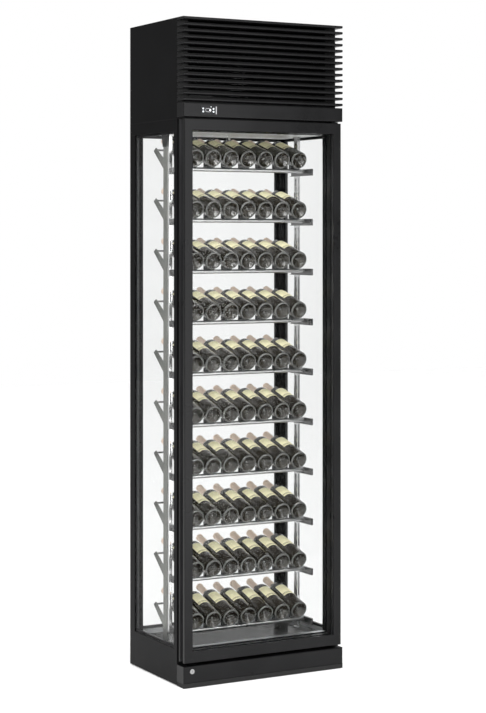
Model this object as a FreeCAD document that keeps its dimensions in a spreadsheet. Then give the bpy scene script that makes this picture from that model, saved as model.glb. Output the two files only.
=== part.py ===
import FreeCAD, Part
import Sketcher
import math
import os
import re

# A tall free-standing wine cooler with a glazed cabinet, a hinged glass door and a cooling unit on top.
# Millimetres. X runs to the right, Y to the rear and Z up. The origin is on the floor, under the
# middle of the cabinet, and the door faces -Y.

SIZES = {
    # cabinet
    "overall_width": 750, "overall_depth": 500, "overall_height": 2700,
    "front_depth": 60, "sheet": 2, "skin_radius": 4,
    # base
    "skin_bottom": 4, "pan_height": 14, "base_top": 149, "toe_height": 20, "toe_inset": 0.5,
    "toe_thick": 12, "plinth_top": 88, "foot_pad_radius": 22, "foot_pad_height": 9,
    "foot_stem_radius": 6, "foot_stem_height": 60, "foot_nut_radius": 10, "foot_side_inset": 45,
    "foot_end_inset": 35, "floor_top": 131.6, "foam_bottom": 92, "rail_height": 31, "rail_width": 26,
    # glazed section
    "glass_top": 2241.5, "frame_top": 2290.5, "post_width": 47, "post_depth": 28, "post_wall": 3,
    "rear_post_width": 42, "rear_post_depth": 45, "pane_inset": 2, "outer_pane": 6, "pane_gap": 10,
    "inner_pane": 5, "spacer_width": 9, "glazing_gap": 0.5, "led_width": 10, "led_depth": 5,
    # rack
    "column_inner": 299, "column_width": 14, "column_front": -2, "column_depth": 28,
    "column_wall": 1.5, "inner_slot": 16, "front_slot": 6, "slot_length": 100, "slot_drop": 8,
    "column_foot_radius": 15, "column_foot_height": 5,
    "plate_thick": 2.5, "plate_front": 15, "plate_rear": 48, "riser_heel": 19, "riser_lift": 24,
    "riser_tip": 140, "riser_tip_lift": 101, "riser_end": 118, "riser_end_lift": 114, "riser_root": 67,
    "bracket_thick": 3, "bracket_front": 5, "bracket_rear": 60, "bracket_height": 56,
    "arm_depth": 8.5, "arm_wall": 1.5, "arm_height": 28, "arm_front": -133, "arm_rear": 48,
    "lowest_arm": 168, "shelf_pitch": 211.7, "shelf_count": 10,
    "rail_y": -65, "rail_rise": 19.5, "rail_radius": 8.5, "rail_wall": 1.5,
    "cradle_width": 46, "cradle_depth": 12, "cradle_top": 46, "cradle_room": 0.4,
    "rest_y": 122, "rest_rise": 104, "rest_radius": 4, "saddle_width": 22, "saddle_depth": 10,
    "saddle_top": 125,
    # bottles
    "bottle_pitch": 82, "bottle_count": 7, "bottle_radius": 37.3, "bottle_length": 300,
    "body_length": 195, "neck_start": 226, "neck_radius": 14, "lip_radius": 15, "lip_length": 12,
    "punt_depth": 25, "punt_radius": 24, "bottle_wall": 3.5, "cork_length": 42,
    "heel_level": 0, "heel_radius": 5, "shoulder_radius": 24, "bottle_tilt": 16, "bottle_front": -109,
    "bottle_lift": 63.3,
    # door
    "door_left_gap": 4.3, "door_right_gap": 9, "door_bottom": 101, "door_top": 2289,
    "door_depth": 54, "stile": 36, "top_rail": 45, "bottom_rail": 44.5, "door_lip": 3.5,
    "glass_bite": 12, "door_pane_gap": 12, "edge_chamfer": 1.5, "handle_groove_depth": 18.5,
    "handle_groove_width": 30, "handle_groove_front": 14, "handle_wall": 1.5,
    "gasket_width": 13, "gasket_depth": 5.6, "gasket_inset": 19,
    # hinges and lock
    "hinge_x": 352, "hinge_y": -212, "pin_radius": 5, "pin_clearance": 0.05, "pin_reach": 24,
    "fitting_room": 0.3, "hinge_plate": 5, "hinge_plate_half": 17, "hinge_leaf_height": 45,
    "lock_x": -337, "lock_z": 67, "lock_rim_radius": 10, "lock_rim": 1.4, "lock_barrel_radius": 8.5,
    "lock_barrel_length": 24, "lock_plug_radius": 6, "lock_clearance": 0.05, "cam_length": 44,
    "cam_width": 10, "cam_thick": 3, "cam_room": 3, "key_slot_width": 1.6, "key_slot_height": 7,
    # housing
    "fascia_bottom": 2297, "fascia_top": 2354, "fin_count": 14, "fin_thick": 10.5,
    "first_fin": 2368.06, "fin_pitch": 25.13, "grille_slot": 5, "grille_slot_margin": 50,
    "vent_slot_count": 5, "vent_slot_pitch": 16, "vent_slot_length": 260,
    "module_x": -260, "module_z": 2325, "module_width": 78, "module_height": 38,
    "module_bezel": 1, "module_body_width": 71, "module_body_height": 29, "module_depth": 40,
    "display_width": 30, "display_shift": -3.9, "display_height": 18, "key_size": 5.5,
    "key_depth": 3, "key_spread": 23.4,
    "key_rise": 6, "key_clearance": 0.3, "key_proud": 0.8, "key_well": 4.2,
    # cooling unit
    "compressor_x": 215, "compressor_y": 105, "compressor_radius": 72, "compressor_height": 170,
    "mount_radius": 12, "mount_height": 12, "mount_spread_x": 85, "mount_spread_y": 55,
    "coil_left": 0, "coil_right": 330, "coil_front": -172, "coil_depth": 44,
    "coil_top": 2640, "coil_fin": 1.2, "coil_fin_count": 28,
    "coil_tube_radius": 4.5, "coil_tube_count": 8, "shroud_depth": 28, "shroud_wall": 2,
    "fan_radius": 105, "fan_clearance": 4, "fan_hub_radius": 32, "fan_blade_depth": 18,
    "fan_blade_pitch": 18, "fan_blade_thick": 2, "fan_axle_radius": 4,
    "cover_left": -340, "cover_right": -50, "cover_front": -50, "cover_rear": 200,
    "cover_top": 2470, "cover_wall": 14, "port_radius": 58, "cold_fan_radius": 52, "cold_hub_radius": 20,
    "cold_fan_x": -120, "cold_fan_y": 75, "cold_coil_left": -318, "cold_coil_fin_count": 12,
    "cold_coil_height": 110, "supply_width": 70, "supply_depth": 150, "supply_x": -262,
    "tray_width": 110, "tray_depth": 150, "tray_height": 28,
    "box_width": 110, "box_depth": 70, "box_height": 110, "pipe_radius": 4,
    "drier_radius": 12, "drier_length": 110, "grommet_x": -300, "grommet_z": 2340,
    "grommet_radius": 11, "grommet_bore": 4.5, "probe_radius": 5, "probe_length": 45,
}

HALF_W = "overall_width / 2"
HALF_D = "overall_depth / 2"
LEFT, RIGHT = "-(" + HALF_W + ")", HALF_W
FRONT, REAR = "-(" + HALF_D + ")", HALF_D
BODY_FRONT = FRONT + " + front_depth"
INNER_RIGHT = HALF_W + " - pane_inset - outer_pane - pane_gap - inner_pane"
POST_REAR = BODY_FRONT + " + post_depth"
REAR_POST_FRONT = REAR + " - rear_post_depth"
DOOR_LEFT = LEFT + " + door_left_gap"
DOOR_RIGHT = RIGHT + " - door_right_gap"
DOOR_REAR = FRONT + " + door_depth"

doc = FreeCAD.newDocument("wine_cooler")
dims = doc.addObject("Spreadsheet::Sheet", "dims")
for row, (alias, value) in enumerate(SIZES.items(), 1):
    dims.set("A%d" % row, alias)
    dims.set("B%d" % row, str(value))
    dims.setAlias("B%d" % row, alias)
doc.recompute()

sub_parts = []


def size(alias):
    return float(dims.get(alias))


def sheet_text(text):
    """An expression in aliases, with each alias looked up on the sheet."""
    return re.sub(r"[a-z]\w*", lambda word: "dims." + word[0] if word[0] in SIZES else word[0], str(text))


def bind(piece, **formulas):
    for prop, text in formulas.items():
        piece.setExpression(prop, sheet_text(text))


def place(piece, x="0", y="0", z="0"):
    for axis, text in (("x", x), ("y", y), ("z", z)):
        piece.setExpression("Placement.Base." + axis, sheet_text(text))
    return piece


def turn(piece, axis, angle):
    piece.Placement = FreeCAD.Placement(piece.Placement.Base, FreeCAD.Rotation(axis, angle))
    return piece


X_AXIS = FreeCAD.Vector(1, 0, 0)
Y_AXIS = FreeCAD.Vector(0, 1, 0)
Z_AXIS = FreeCAD.Vector(0, 0, 1)


def block(name, x, y, z):
    """A box between the low and high side along each axis."""
    piece = doc.addObject("Part::Box", name)
    spans = ["(%s) - (%s)" % (high, low) for low, high in (x, y, z)]
    bind(piece, Length=spans[0], Width=spans[1], Height=spans[2])
    return place(piece, x[0], y[0], z[0])


def rod(name, radius, length, x, y, z, axis="z"):
    """A cylinder from a point, along an axis in its positive direction."""
    piece = doc.addObject("Part::Cylinder", name)
    bind(piece, Radius=radius, Height=length)
    if axis == "x":
        turn(piece, Y_AXIS, 90)
    if axis == "y":
        turn(piece, X_AXIS, -90)
    return place(piece, x, y, z)


def fuse(name, *pieces):
    piece = doc.addObject("Part::MultiFuse", name)
    piece.Shapes = list(pieces)
    return piece


def group(name, *pieces):
    """Several separate solids in one object."""
    piece = doc.addObject("Part::Compound", name)
    piece.Links = list(pieces)
    return piece


def cut(name, base, *tools):
    piece = doc.addObject("Part::Cut", name)
    piece.Base = base
    piece.Tool = tools[0] if len(tools) == 1 else group(name + "_tools", *tools)
    return piece


def mirrored(name, source):
    piece = doc.addObject("Part::Mirroring", name)
    piece.Source = source
    piece.Normal = X_AXIS
    return piece


def pair(name, right_side):
    return group(name, right_side, mirrored(name + "_left", right_side))


def copies(name, source, places, axis=X_AXIS, angles=None):
    """Linked copies of a piece, moved to each place and turned about an axis."""
    made = []
    for index, (x, y, z) in enumerate(places):
        copy = doc.addObject("App::Link", "%s_%d" % (name, index + 1))
        copy.LinkedObject = source
        if angles:
            turn(copy, axis, angles[index])
        made.append(place(copy, x, y, z))
    return made


def ring(name, outer_x, outer_z, y, bar_x, bar_z):
    """A rectangular frame in the XZ plane, with one bar width at the sides and one above and below."""
    inner_x = ("(%s) + %s" % (outer_x[0], bar_x), "(%s) - %s" % (outer_x[1], bar_x))
    inner_z = ("(%s) + %s" % (outer_z[0], bar_z), "(%s) - %s" % (outer_z[1], bar_z))
    hole_y = ("(%s) - 1" % y[0], "(%s) + 1" % y[1])
    return cut(name, block(name + "_outer", outer_x, y, outer_z),
               block(name + "_hole", inner_x, hole_y, inner_z))


def rounded(name, base, radius, test):
    """Fillets on the edges whose ends both pass a test."""
    doc.recompute()
    chosen = [index + 1 for index, edge in enumerate(base.Shape.Edges)
              if all(test(vertex.Point) for vertex in edge.Vertexes)]
    piece = doc.addObject("Part::Fillet", name)
    piece.Base = base
    piece.Edges = [(index, size(radius), size(radius)) for index in chosen]
    return piece


def origin_plane(body, role):
    return next(feature for feature in body.Origin.OriginFeatures if feature.Role == role)


def outline(body, name, plane, points):
    """A closed sketch of straight sides, with each corner's two distances bound to the sheet."""
    sketch = body.newObject("Sketcher::SketchObject", name)
    sketch.AttachmentSupport = [(origin_plane(body, plane), "")]
    sketch.MapMode = "FlatFace"
    count = len(points)
    around = [(math.cos(2 * math.pi * i / count), math.sin(2 * math.pi * i / count)) for i in range(count)]
    for i in range(count):
        start, end = around[i], around[(i + 1) % count]
        sketch.addGeometry(Part.LineSegment(FreeCAD.Vector(*start, 0), FreeCAD.Vector(*end, 0)), False)
    for i in range(count):
        sketch.addConstraint(Sketcher.Constraint("Coincident", i, 2, (i + 1) % count, 1))
    for i, (across, up) in enumerate(points):
        for kind, text, guess in (("DistanceX", across, around[i][0]), ("DistanceY", up, around[i][1])):
            index = sketch.addConstraint(Sketcher.Constraint(kind, -1, 1, i, 1, guess))
            label = "%s_%d" % (kind[-1].lower(), i)
            sketch.renameConstraint(index, label)
            sketch.setExpression("Constraints." + label, sheet_text(text))
    return sketch


def new_body(name):
    return doc.addObject("PartDesign::Body", name)


def padded(name, plane, points, length, midplane=False, reverse=False):
    """A body made by padding one outline."""
    body = new_body(name)
    sketch = outline(body, name + "_outline", plane, points)
    pad = body.newObject("PartDesign::Pad", name + "_pad")
    pad.Profile = sketch
    bind(pad, Length=length)
    pad.Midplane = midplane
    pad.Reversed = reverse
    return body


def sub_part(label, piece):
    piece.Label = label
    sub_parts.append(piece)
    return piece


def shelf_level(index):
    return "lowest_arm + shelf_pitch * %d" % index


def base():
    shell = block("base_shell", (LEFT, RIGHT), (BODY_FRONT, REAR), ("skin_bottom", "base_top"))
    hollow = block("base_hollow", (LEFT + " + sheet", RIGHT + " - sheet"),
                   (BODY_FRONT + " + sheet", REAR + " - sheet"), ("pan_height + sheet", "base_top + 1"))
    under = block("base_under", (LEFT + " + sheet", RIGHT + " - sheet"),
                  (BODY_FRONT + " + sheet", REAR + " - sheet"), ("skin_bottom - 1", "pan_height"))
    side = HALF_W + " - foot_side_inset"
    foot_places = [(sign + "(" + side + ")", y, "0") for sign in ("-", "")
                   for y in (BODY_FRONT + " + foot_end_inset", REAR + " - foot_end_inset")]
    pan_hole = rod("foot_hole", "foot_stem_radius + fitting_room", "foot_stem_height", "0", "0", "0")
    sub_part("base_housing", cut("base_housing", shell, hollow, under,
                                 *copies("pan_hole", pan_hole, foot_places)))

    pad = rod("foot_pad", "foot_pad_radius", "foot_pad_height", "0", "0", "0")
    stem = rod("foot_stem", "foot_stem_radius", "foot_stem_height", "0", "0", "0")
    nut = doc.addObject("Part::Prism", "foot_nut")
    bind(nut, Circumradius="foot_nut_radius", Height="pan_height - foot_pad_height")
    place(nut, z="foot_pad_height")
    foot = fuse("foot", pad, stem, nut)
    sub_part("levelling_feet", group("levelling_feet", *copies("foot", foot, foot_places)))

    plinth = block("plinth_block", (LEFT, RIGHT), (FRONT, BODY_FRONT), ("toe_height", "plinth_top"))
    front_corner = size("overall_depth") / -2 + 0.1
    plinth_skin = rounded("plinth_rounded", plinth, "skin_radius", lambda p: p.y < front_corner
                          and abs(abs(p.x) - size("overall_width") / 2) < 0.1)
    plinth_hollow = block("plinth_hollow", (LEFT + " + sheet", RIGHT + " - sheet"),
                          (FRONT + " + sheet", BODY_FRONT + " + 1"),
                          ("toe_height + sheet", "plinth_top - sheet"))
    lock_hole = rod("plinth_lock_hole", "lock_barrel_radius + fitting_room", "front_depth", "lock_x",
                    FRONT + " - 1", "lock_z", "y")
    cam_slot = block("plinth_cam_slot", ("lock_x - cam_width", "lock_x + cam_length"),
                     (FRONT + " + lock_barrel_length + 1", FRONT + " + lock_barrel_length + cam_thick + 7"),
                     ("plinth_top - sheet - 1", "plinth_top + 1"))
    leaf_notch = block("plinth_leaf_notch", ("hinge_x - hinge_plate_half - 1",
                                             "hinge_x + hinge_plate_half + 1"),
                       (BODY_FRONT + " - hinge_plate - 1", BODY_FRONT + " + 1"),
                       ("plinth_top - sheet - 1", "plinth_top + 1"))
    sub_part("plinth_fascia", cut("plinth_fascia", plinth_skin, plinth_hollow, lock_hole, cam_slot,
                                  leaf_notch))

    toe = block("toe_block", (LEFT + " + toe_inset", RIGHT + " - toe_inset"),
                (FRONT + " + toe_inset", BODY_FRONT), ("sheet", "toe_height"))
    toe_hollow = block("toe_hollow", (LEFT + " + toe_thick", RIGHT + " - toe_thick"),
                       (FRONT + " + toe_thick", BODY_FRONT + " + 1"), ("0", "toe_height + 1"))
    sub_part("toe_strip", cut("toe_strip", toe, toe_hollow))

    frame_outer = block("bottom_frame_outer", (LEFT + " + sheet", RIGHT + " - sheet"),
                        (BODY_FRONT + " + sheet", REAR + " - sheet"),
                        ("base_top - rail_height", "base_top"))
    frame_hole = block("bottom_frame_hole", (LEFT + " + rail_width", RIGHT + " - rail_width"),
                       (POST_REAR, REAR_POST_FRONT), ("base_top - rail_height - 1", "base_top + 1"))
    sub_part("bottom_frame", cut("bottom_frame", frame_outer, frame_hole))

    inside = ((LEFT + " + rail_width", RIGHT + " - rail_width"), (POST_REAR, REAR_POST_FRONT))
    sub_part("base_insulation", block("base_insulation", *inside, ("foam_bottom", "floor_top - sheet")))
    sub_part("floor_panel", block("floor_panel", *inside, ("floor_top - sheet", "floor_top")))


def cabinet_frame():
    height = ("base_top", "glass_top")
    front_post = block("front_post_outer", (RIGHT + " - post_width", RIGHT), (BODY_FRONT, POST_REAR),
                       height)
    front_bore = block("front_post_bore",
                       (RIGHT + " - post_width + post_wall", RIGHT + " - post_wall"),
                       (BODY_FRONT + " + post_wall", POST_REAR + " - post_wall"),
                       ("base_top - 1", "glass_top + 1"))
    sub_part("front_posts", pair("front_posts", cut("front_post", front_post, front_bore)))

    rear_post = block("rear_post_outer", (RIGHT + " - rear_post_width", RIGHT), (REAR_POST_FRONT, REAR),
                      height)
    rear_bore = block("rear_post_bore",
                      (RIGHT + " - rear_post_width + post_wall", RIGHT + " - post_wall"),
                      (REAR_POST_FRONT + " + post_wall", REAR + " - post_wall"),
                      ("base_top - 1", "glass_top + 1"))
    sub_part("rear_posts", pair("rear_posts", cut("rear_post", rear_post, rear_bore)))

    outer = block("top_frame_outer", (LEFT, RIGHT), (BODY_FRONT, REAR), ("glass_top", "frame_top"))
    hole = block("top_frame_hole", (LEFT + " + rail_width", RIGHT + " - rail_width"),
                 (POST_REAR, REAR_POST_FRONT), ("glass_top - 1", "frame_top + 1"))
    sub_part("top_frame", cut("top_frame", outer, hole))

    led = block("led_strip", (RIGHT + " - post_width + 2", RIGHT + " - post_width + 2 + led_width"),
                (POST_REAR, POST_REAR + " + led_depth"),
                ("base_top + post_width", "glass_top - post_width"))
    sub_part("led_strips", pair("led_strips", led))


def fixed_glass():
    tall = ("base_top + glazing_gap", "glass_top - glazing_gap")
    side_y = (POST_REAR + " + glazing_gap", REAR_POST_FRONT + " - glazing_gap")
    outer_x = (RIGHT + " - pane_inset - outer_pane", RIGHT + " - pane_inset")
    inner_x = (INNER_RIGHT, INNER_RIGHT + " + inner_pane")
    right_panes = [block("right_outer_pane", outer_x, side_y, tall),
                   block("right_inner_pane", inner_x, side_y, tall)]
    sub_part("side_glass_panes", pair("side_glass_panes", group("right_panes", *right_panes)))

    rear_x = (LEFT + " + rear_post_width + glazing_gap", RIGHT + " - rear_post_width - glazing_gap")
    rear_outer = REAR + " - pane_inset"
    rear_inner = rear_outer + " - outer_pane - pane_gap - inner_pane"
    sub_part("rear_glass_panes", group(
        "rear_glass_panes",
        block("rear_outer_pane", rear_x, (rear_outer + " - outer_pane", rear_outer), tall),
        block("rear_inner_pane", rear_x, (rear_inner, rear_inner + " + inner_pane"), tall)))

    gap_x = (INNER_RIGHT + " + inner_pane", INNER_RIGHT + " + inner_pane + pane_gap")
    side_outer = block("side_spacer_outer", gap_x, side_y, tall)
    side_hole = block("side_spacer_hole", (gap_x[0] + " - 1", gap_x[1] + " + 1"),
                      (side_y[0] + " + spacer_width", side_y[1] + " - spacer_width"),
                      (tall[0] + " + spacer_width", tall[1] + " - spacer_width"))
    side_spacer = cut("side_spacer", side_outer, side_hole)
    rear_spacer = ring("rear_spacer", rear_x, tall,
                       (rear_inner + " + inner_pane", rear_inner + " + inner_pane + pane_gap"),
                       "spacer_width", "spacer_width")
    sub_part("glass_spacers", group("glass_spacers", side_spacer, mirrored("side_spacer_left", side_spacer),
                                    rear_spacer))


def ceiling():
    inside = ((LEFT + " + rail_width", RIGHT + " - rail_width"), (POST_REAR, REAR_POST_FRONT))
    port = rod("return_port", "port_radius", "frame_top", "cold_fan_x", "cold_fan_y", "0")
    supply = block("supply_port", ("supply_x - supply_width / 2", "supply_x + supply_width / 2"),
                   ("cold_fan_y - supply_depth / 2", "cold_fan_y + supply_depth / 2"),
                   ("0", "frame_top + 1"))
    foam = block("ceiling_foam", *inside, ("glass_top + 2 * sheet", "frame_top"))
    sub_part("ceiling_insulation", cut("ceiling_insulation", foam, port, supply))

    panel = block("ceiling_sheet", *inside, ("glass_top + sheet", "glass_top + 2 * sheet"))
    slot = block("ceiling_slot", ("0", "supply_width - 10"), ("0", "sheet + 2"), ("glass_top", "frame_top"))
    slots = []
    for port_name, centre in (("return", "cold_fan_x"), ("supply", "supply_x")):
        places = [(centre + " - supply_width / 2 + 5", "cold_fan_y - 40 + 10 * %d" % index, "glass_top")
                  for index in range(9)]
        slots += copies(port_name + "_grille", slot, places)
    sub_part("ceiling_panel", cut("ceiling_panel", panel, *slots))

    sub_part("temperature_probe", rod("temperature_probe", "probe_radius", "probe_length",
                                      "bottle_pitch / 2",
                                      "cold_fan_y + 60", "glass_top + sheet - probe_length"))


def rounded_slot(name, width, axis):
    """A tool for an upright slot with round ends, cut along one axis at the origin."""
    along = ("-1", "column_wall + 1")
    across = ("-(%s) / 2" % width, width + " / 2")
    middle = ("0", "slot_length - " + width)
    sides = (along, across) if axis == "x" else (across, along)
    start = ("-1", "0") if axis == "x" else ("0", "-1")
    ends = [rod("%s_end_%d" % (name, index), width + " / 2", "column_wall + 2", *start, level, axis)
            for index, level in enumerate(("0", "slot_length - " + width))]
    return fuse(name, block(name + "_middle", *sides, middle), *ends)


def rack():
    shelves = range(int(size("shelf_count")))
    levels = [("0", "0", shelf_level(index)) for index in shelves]
    bottle_row = range(int(size("bottle_count")))
    outer = "column_inner + column_width"
    rear = "column_front + column_depth"
    up = ("floor_top", "glass_top + sheet")
    tube = block("column_tube", ("column_inner", outer), ("column_front", rear), up)
    foot = rod("column_foot", "column_foot_radius", "column_foot_height", "column_inner + column_width / 2",
               "column_front + column_depth / 2", "floor_top")
    bore = block("column_bore", ("column_inner + column_wall", outer + " - column_wall"),
                 ("column_front + column_wall", rear + " - column_wall"),
                 ("floor_top + column_foot_height", "glass_top + 9"))
    slots = []
    for name, width, x, y in (("front_slot", "front_slot", "column_inner + column_width / 2",
                               "column_front"),
                              ("inner_slot", "inner_slot", "column_inner",
                               "column_front + column_depth / 2")):
        tool = rounded_slot(name, width, "x" if name == "inner_slot" else "y")
        bottom = " - slot_drop - slot_length + %s / 2" % width
        slots += copies(name + "s", tool, [(x, y, shelf_level(index) + bottom) for index in shelves[1:]])
    column = cut("rack_column", fuse("column_profile", tube, foot), bore, *slots)
    sub_part("rack_columns", pair("rack_columns", column))

    strip = block("plate_strip", (outer, outer + " + plate_thick"), ("plate_front", "plate_rear"),
                  ("floor_top + column_foot_height", "glass_top + sheet"))
    riser = padded("riser", "YZ_Plane", [
        ("riser_heel", "0"), ("plate_rear", "riser_lift"), ("riser_tip", "riser_tip_lift"),
        ("riser_end", "riser_end_lift"), ("plate_rear", "riser_root"), ("riser_heel", "riser_root")],
        "plate_thick")
    risers = copies("risers", riser, [(outer, "0", level[2]) for level in levels])
    sub_part("rack_plates", pair("rack_plates", fuse("rack_plate", strip, *risers)))

    ceiling_line = "glass_top + sheet"
    bracket = padded("bracket", "YZ_Plane", [
        ("plate_front", ceiling_line + " - bracket_height"), ("plate_rear",
                                                              ceiling_line + " - bracket_height"),
        ("bracket_rear", ceiling_line), ("bracket_front", ceiling_line)], "bracket_thick")
    place(bracket, outer + " + plate_thick")
    sub_part("rack_brackets", pair("rack_brackets", bracket))

    arm_x = ("column_inner - arm_depth", "column_inner")
    channel = cut("arm_channel", block("arm_blank", arm_x, ("arm_front", "arm_rear"), ("0", "arm_height")),
                  block("arm_hollow", (arm_x[0] + " - 1", arm_x[1] + " - arm_wall"),
                        ("arm_front + arm_wall", "arm_rear + 1"), ("arm_wall", "arm_height - arm_wall")))
    sub_part("shelf_arms", pair("shelf_arms", group("right_arms", *copies("arms", channel, levels))))

    rail = cut("bottle_rail",
               rod("rail_tube", "rail_radius", "2 * (%s)" % arm_x[0], "-(%s)" % arm_x[0], "rail_y",
                   "rail_rise", "x"),
               rod("rail_bore", "rail_radius - rail_wall", "2 * column_inner", "-column_inner", "rail_y",
                   "rail_rise", "x"))
    sub_part("bottle_rails", group("bottle_rails", *copies("rails", rail, levels)))

    lean = size("bottle_tilt") - 90
    shape = turn(rod("bottle_room", "bottle_radius + cradle_room", "body_length", "0", "bottle_front",
                     "bottle_lift"), X_AXIS, lean)
    cradle = cut("cradle",
                 block("cradle_blank", ("-cradle_width / 2", "cradle_width / 2"),
                       ("rail_y - cradle_depth / 2", "rail_y + cradle_depth / 2"),
                       ("rail_rise", "cradle_top")),
                 shape, rod("cradle_seat", "rail_radius + 0.1", "cradle_width + 2", "-cradle_width / 2 - 1",
                            "rail_y", "rail_rise", "x"))
    columns = ["bottle_pitch * (%d - (bottle_count - 1) / 2)" % index for index in bottle_row]
    sub_part("bottle_cradles", group("bottle_cradles", *copies(
        "cradles", cradle, [(x, "0", level[2]) for level in levels for x in columns])))

    bar = rod("rest_bar", "rest_radius", "2 * (%s)" % outer, "-(%s)" % outer, "rest_y", "rest_rise", "x")
    saddle = block("saddle", ("-saddle_width / 2", "saddle_width / 2"),
                   ("rest_y - saddle_depth / 2", "rest_y + saddle_depth / 2"), ("rest_rise", "saddle_top"))
    neck = turn(rod("neck_room", "neck_radius + cradle_room", "bottle_length", "0", "bottle_front",
                    "bottle_lift"), X_AXIS, lean)
    notched = cut("notched_saddle", saddle, neck)
    rest = fuse("neck_rest", bar, *copies("saddles", notched, [(x, "0", "0") for x in columns]))
    sub_part("neck_rests", group("neck_rests", *copies("rests", rest, levels)))


def bottles():
    body = new_body("bottle")
    profile = [("0", "punt_depth"), ("punt_radius", "0"), ("bottle_radius", "0"),
               ("bottle_radius", "body_length"), ("neck_radius", "neck_start"),
               ("neck_radius", "bottle_length - lip_length"), ("lip_radius", "bottle_length - lip_length"),
               ("lip_radius", "bottle_length"), ("0", "bottle_length"),
               ("0", "bottle_length - cork_length"),
               ("neck_radius - bottle_wall", "bottle_length - cork_length"),
               ("neck_radius - bottle_wall", "neck_start"), ("bottle_radius - bottle_wall", "body_length"),
               ("bottle_radius - bottle_wall", "bottle_wall"), ("punt_radius + bottle_wall", "bottle_wall"),
               ("0", "punt_depth + bottle_wall")]
    turned = body.newObject("PartDesign::Revolution", "bottle_turned")
    turned.Profile = outline(body, "bottle_outline", "XZ_Plane", profile)
    turned.ReferenceAxis = (turned.Profile[0], ["V_Axis"])
    turned.Angle = 360
    softened = turned
    for name, level in (("shoulder", "body_length"), ("heel", "heel_level")):
        doc.recompute()
        height = size(level)
        edges = ["Edge%d" % (index + 1) for index, edge in enumerate(body.Shape.Edges)
                 if abs(edge.BoundBox.ZMin - height) < 0.1 and edge.BoundBox.ZLength < 0.1
                 and edge.BoundBox.XMax > size("bottle_radius") - 1]
        fillet = body.newObject("PartDesign::Fillet", "bottle_" + name)
        fillet.Base = (softened, edges)
        bind(fillet, Radius=name + "_radius")
        body.Tip = softened = fillet

    lean = -(90 - size("bottle_tilt"))
    places = [("bottle_pitch * (%d - (bottle_count - 1) / 2)" % column, "bottle_front",
               shelf_level(level) + " + bottle_lift")
              for level in range(int(size("shelf_count"))) for column in range(int(size("bottle_count")))]
    sub_part("wine_bottles", group("wine_bottles", *copies(
        "wine_bottle", body, places, angles=[lean] * len(places))))


def door():
    outer_x, outer_z = (DOOR_LEFT, DOOR_RIGHT), ("door_bottom", "door_top")
    view_x = (DOOR_LEFT + " + stile", DOOR_RIGHT + " - stile")
    view_z = ("door_bottom + bottom_rail", "door_top - top_rail")
    pane_x = (view_x[0] + " - glass_bite", view_x[1] + " + glass_bite")
    pane_z = (view_z[0] + " - glass_bite", view_z[1] + " + glass_bite")
    glass_front = FRONT + " + door_lip"
    glass_rear = glass_front + " + outer_pane + door_pane_gap + inner_pane"
    blank = block("door_blank", outer_x, (FRONT, DOOR_REAR), outer_z)
    view = block("door_view", view_x, (FRONT + " - 1", DOOR_REAR + " + 1"), view_z)
    groove = block("door_glass_groove", pane_x, (glass_front, glass_rear), pane_z)
    handle = block("door_handle_groove", (DOOR_LEFT + " - 1", DOOR_LEFT + " + handle_groove_depth"),
                   (FRONT + " + handle_groove_front",
                    FRONT + " + handle_groove_front + handle_groove_width"),
                   ("door_bottom - 1", "door_top + 1"))
    low_bore = rod("low_pin_bore", "pin_radius + pin_clearance", "pin_reach + 3", "hinge_x", "hinge_y",
                   "door_bottom - 1")
    high_bore = rod("high_pin_bore", "pin_radius + pin_clearance", "pin_reach + 3", "hinge_x", "hinge_y",
                    "door_top - pin_reach - 2")
    cam_y = FRONT + " + lock_barrel_length + 1"
    cam_pocket = block("cam_pocket", ("lock_x - cam_width", "lock_x + cam_length - 4"),
                       (cam_y, cam_y + " + cam_thick + 2 * cam_room"),
                       ("door_bottom - 1", "lock_z + cam_length + cam_room"))
    softened = doc.addObject("Part::Chamfer", "door_blank_softened")
    softened.Base = blank
    doc.recompute()
    face = size("overall_depth") / -2
    softened.Edges = [(index + 1, size("edge_chamfer"), size("edge_chamfer"))
                      for index, edge in enumerate(blank.Shape.Edges)
                      if all(vertex.Point.y < face + 0.1 for vertex in edge.Vertexes)]
    sub_part("door_frame", cut("door_frame", softened, view, groove, handle, low_bore, high_bore,
                               cam_pocket))

    room = "glazing_gap"
    sheet_x = (pane_x[0] + " + " + room, pane_x[1] + " - " + room)
    sheet_z = (pane_z[0] + " + " + room, pane_z[1] + " - " + room)
    gap_front = glass_front + " + outer_pane"
    sub_part("door_glass_panes", group(
        "door_glass_panes", block("door_outer_pane", sheet_x, (glass_front, gap_front), sheet_z),
        block("door_inner_pane", sheet_x, (glass_rear + " - inner_pane", glass_rear), sheet_z)))
    sub_part("door_glass_spacer", ring("door_glass_spacer", sheet_x, sheet_z,
                                       (gap_front, gap_front + " + door_pane_gap"),
                                       "spacer_width", "spacer_width"))
    seal_x = (DOOR_LEFT + " + gasket_inset", DOOR_RIGHT + " - gasket_inset - 1")
    seal_z = ("door_bottom + gasket_inset + 4", "door_top - gasket_inset - 4")
    sub_part("door_gasket", ring("door_gasket", seal_x, seal_z, (DOOR_REAR, DOOR_REAR + " + gasket_depth"),
                                 "gasket_width", "gasket_width"))
    lining = block("handle_lining", (DOOR_LEFT, DOOR_LEFT + " + handle_groove_depth"),
                   (FRONT + " + handle_groove_front",
                    FRONT + " + handle_groove_front + handle_groove_width"),
                   ("door_bottom + sheet", "door_top - sheet"))
    hand_room = block("handle_room", (DOOR_LEFT + " - 1",
                                      DOOR_LEFT + " + handle_groove_depth - handle_wall"),
                      (FRONT + " + handle_groove_front + handle_wall",
                       FRONT + " + handle_groove_front + handle_groove_width - handle_wall"),
                      ("door_bottom", "door_top"))
    sub_part("door_handle_channel", cut("door_handle_channel", lining, hand_room))


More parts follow.
